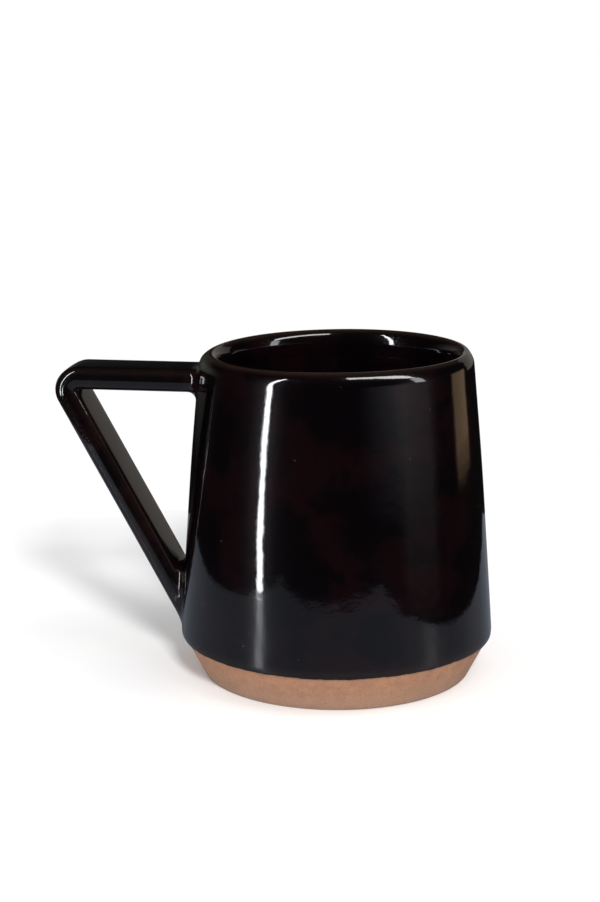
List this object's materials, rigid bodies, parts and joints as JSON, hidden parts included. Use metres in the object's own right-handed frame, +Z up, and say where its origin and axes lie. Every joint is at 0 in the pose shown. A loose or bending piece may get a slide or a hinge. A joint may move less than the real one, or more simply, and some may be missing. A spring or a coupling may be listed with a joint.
{
  "type": "ceramic mug",
  "caption": "Tapered black-glazed stoneware mug with a bare clay foot and a triangular strap handle for drinking hot or cold liquids.",
  "frame": {"origin": "centre of the standing face under the foot, on the mug's axis", "axes": "+Z up along the mug's axis, handle towards -X, +Y completes a right-handed frame"},
  "size_m": [0.1201, 0.086, 0.0893],
  "materials": {
    "clay": "bare fired terracotta-coloured clay, matt, fine speckle",
    "slip": "fired slip, matt, slightly darker than the clay",
    "outer_glaze": "glossy black glaze, breaking to brown where it is thin",
    "liner_glaze": "glossy black liner glaze",
    "handle_glaze": "glossy black glaze, browner on the strap's edges"
  },
  "bodies": {
    "root": {"clay_body": "clay", "clay_handle": "clay", "upper_luting_slip": "slip", "lower_luting_slip": "slip", "outer_glaze": "outer_glaze", "liner_glaze": "liner_glaze", "handle_glaze": "handle_glaze"}
  },
  "joints": []
}
